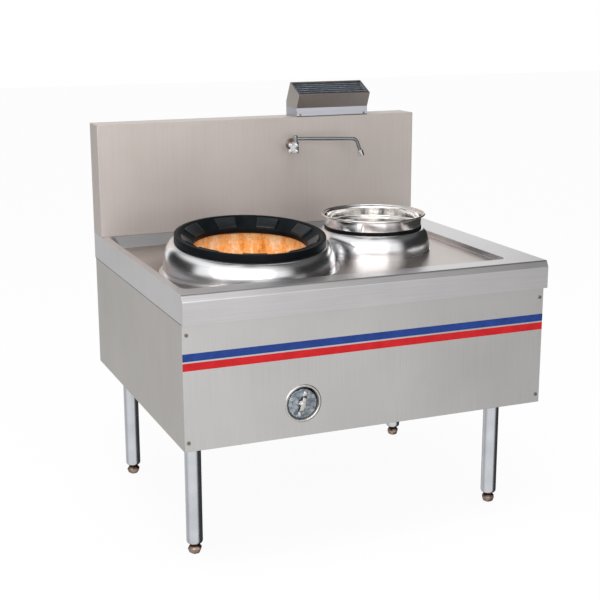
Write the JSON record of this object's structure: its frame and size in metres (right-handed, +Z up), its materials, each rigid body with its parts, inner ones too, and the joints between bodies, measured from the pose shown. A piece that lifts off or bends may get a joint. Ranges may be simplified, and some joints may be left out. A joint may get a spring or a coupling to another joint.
{
  "type": "wok range",
  "caption": "Commercial gas wok range: stainless casing on tube legs, tilted domed burner with lugged ring, flue-heated rear pot, backsplash vent, swing tap and drained deck",
  "frame": {"origin": "on the floor under the middle of the outline, feet standing on z = 0", "axes": "+X to the cook's right, +Y to the rear wall, +Z up"},
  "size_m": [1.2, 1.032, 1.37],
  "materials": {
    "back_panel": "plain galvanised sheet",
    "backsplash": "brushed stainless sheet",
    "backsplash_back": "plain galvanised sheet",
    "base_frame": "grey painted angle iron",
    "blue_stripe": "blue tape",
    "casing_screws": "satin screw heads",
    "corner_posts": "grey painted angle iron",
    "deck_bearers": "grey painted angle iron",
    "drain_cup": "pressed stainless",
    "drain_strainer": "pressed stainless",
    "flue_bridge": "heat-tinted steel sheet",
    "flue_duct": "heat-tinted steel sheet",
    "flue_riser": "plain steel sheet",
    "foot_front_left": "bronze-tinted stainless, faceted",
    "foot_front_right": "bronze-tinted stainless, faceted",
    "foot_rear_left": "bronze-tinted stainless, faceted",
    "foot_rear_right": "bronze-tinted stainless, faceted",
    "front_panel": "brushed stainless sheet, grain across",
    "gas_manifold": "yellow painted gas pipe",
    "left_panel": "brushed stainless sheet, grain upright",
    "leg_front_left": "stainless tube",
    "leg_front_right": "stainless tube",
    "leg_inserts": "satin turned steel",
    "leg_rear_left": "stainless tube",
    "leg_rear_right": "stainless tube",
    "main_burner": "raw cast iron",
    "main_cock": "satin brass",
    "main_cock_lever": "red painted lever",
    "main_dome": "spun satin stainless",
    "main_drum": "heat-darkened steel plate",
    "main_feed_pipe": "bare steel pipe",
    "main_floor_plate": "heat-darkened steel plate",
    "main_jets": "dull brass",
    "main_lining": "cast refractory, orange, chipped along the edge",
    "pilot_cock": "satin brass",
    "pilot_cock_lever": "red painted lever",
    "pilot_tube": "copper tube",
    "port_bezel": "satin turned stainless",
    "port_cover": "mottled galvanised sheet",
    "port_fixings": "bright bolt and rivets",
    "port_handle": "bright bent strip",
    "port_sleeve": "plain steel tube",
    "pot": "polished stainless, mirror bright",
    "pot_ring": "blackened cast iron",
    "rear_dome": "spun satin stainless",
    "rear_drum": "heat-darkened steel plate",
    "rear_lining": "pale ceramic fibre ring",
    "red_stripe": "red tape",
    "right_panel": "brushed stainless sheet, grain upright",
    "sunk_deck": "brushed stainless sheet, dulled by use",
    "tap_aerator": "satin chrome",
    "tap_body": "polished chrome",
    "tap_flange": "dulled chrome",
    "tap_handle": "polished chrome",
    "tap_spout": "polished chrome",
    "vent_grille": "dark sooted stainless slats",
    "vent_hood": "brushed stainless sheet",
    "water_pipe": "copper tube",
    "wok_ring": "blackened cast iron",
    "worktop": "brushed stainless sheet, sunk deck dulled by use"
  },
  "bodies": {
    "range": {"worktop": "worktop", "sunk_deck": "sunk_deck", "front_panel": "front_panel", "left_panel": "left_panel", "right_panel": "right_panel", "back_panel": "back_panel", "base_frame": "base_frame", "corner_posts": "corner_posts", "deck_bearers": "deck_bearers", "leg_inserts": "leg_inserts", "leg_front_left": "leg_front_left", "leg_front_right": "leg_front_right", "leg_rear_left": "leg_rear_left", "leg_rear_right": "leg_rear_right", "backsplash": "backsplash", "backsplash_back": "backsplash_back", "flue_riser": "flue_riser", "flue_duct": "flue_duct", "flue_bridge": "flue_bridge", "vent_hood": "vent_hood", "vent_grille": "vent_grille", "main_dome": "main_dome", "main_drum": "main_drum", "main_floor_plate": "main_floor_plate", "main_lining": "main_lining", "main_burner": "main_burner", "main_jets": "main_jets", "rear_dome": "rear_dome", "rear_drum": "rear_drum", "rear_lining": "rear_lining", "port_bezel": "port_bezel", "port_sleeve": "port_sleeve", "blue_stripe": "blue_stripe", "red_stripe": "red_stripe", "casing_screws": "casing_screws", "gas_manifold": "gas_manifold", "main_cock": "main_cock", "pilot_cock": "pilot_cock", "main_feed_pipe": "main_feed_pipe", "pilot_tube": "pilot_tube", "water_pipe": "water_pipe", "tap_flange": "tap_flange", "tap_body": "tap_body", "drain_cup": "drain_cup"},
    "wok_ring": {"wok_ring": "wok_ring"},
    "pot_ring": {"pot_ring": "pot_ring"},
    "pot": {"pot": "pot"},
    "port_cover": {"port_cover": "port_cover", "port_handle": "port_handle", "port_fixings": "port_fixings"},
    "tap_spout": {"tap_spout": "tap_spout", "tap_aerator": "tap_aerator"},
    "tap_handle": {"tap_handle": "tap_handle"},
    "main_cock_lever": {"main_cock_lever": "main_cock_lever"},
    "pilot_cock_lever": {"pilot_cock_lever": "pilot_cock_lever"},
    "drain_strainer": {"drain_strainer": "drain_strainer"},
    "foot_front_left": {"foot_front_left": "foot_front_left"},
    "foot_front_right": {"foot_front_right": "foot_front_right"},
    "foot_rear_left": {"foot_rear_left": "foot_rear_left"},
    "foot_rear_right": {"foot_rear_right": "foot_rear_right"}
  },
  "joints": [
    {"name": "wok_ring_lift", "type": "slide", "parent": "range", "child": "wok_ring", "axis": [0, -0.0872, 0.9962], "range_m": [0, 0.15]},
    {"name": "pot_ring_lift", "type": "slide", "parent": "range", "child": "pot_ring", "axis": [0, 0, 1], "range_m": [0, 0.15]},
    {"name": "pot_lift", "type": "slide", "parent": "pot_ring", "child": "pot", "axis": [0, 0, 1], "range_m": [0, 0.16]},
    {"name": "port_cover_pull", "type": "slide", "parent": "range", "child": "port_cover", "axis": [0, -1, 0], "range_m": [0, 0.12]},
    {"name": "strainer_lift", "type": "slide", "parent": "range", "child": "drain_strainer", "axis": [-0.0182, 0, 0.9998], "range_m": [0, 0.04]},
    {"name": "tap_spout_swing", "type": "hinge", "parent": "range", "child": "tap_spout", "pos_m": [0.108, 0.372, 1.166], "axis": [0, 0, 1], "range_deg": [-165, 5]},
    {"name": "tap_handle_turn", "type": "hinge", "parent": "range", "child": "tap_handle", "pos_m": [0.108, 0.372, 1.1475], "axis": [-0.5736, -0.8192, 0], "range_deg": [0, 540]},
    {"name": "main_cock_turn", "type": "hinge", "parent": "range", "child": "main_cock_lever", "pos_m": [-0.38, -0.4286, 0.5496], "axis": [0, 1, 0], "range_deg": [0, 90]},
    {"name": "pilot_cock_turn", "type": "hinge", "parent": "range", "child": "pilot_cock_lever", "pos_m": [-0.15, -0.4236, 0.5496], "axis": [0, 1, 0], "range_deg": [0, 90]},
    {"name": "foot_front_left_screw", "type": "slide", "parent": "range", "child": "foot_front_left", "axis": [0, 0, -1], "range_m": [0, 0.025]},
    {"name": "foot_front_right_screw", "type": "slide", "parent": "range", "child": "foot_front_right", "axis": [0, 0, -1], "range_m": [0, 0.025]},
    {"name": "foot_rear_left_screw", "type": "slide", "parent": "range", "child": "foot_rear_left", "axis": [0, 0, -1], "range_m": [0, 0.025]},
    {"name": "foot_rear_right_screw", "type": "slide", "parent": "range", "child": "foot_rear_right", "axis": [0, 0, -1], "range_m": [0, 0.025]}
  ]
}
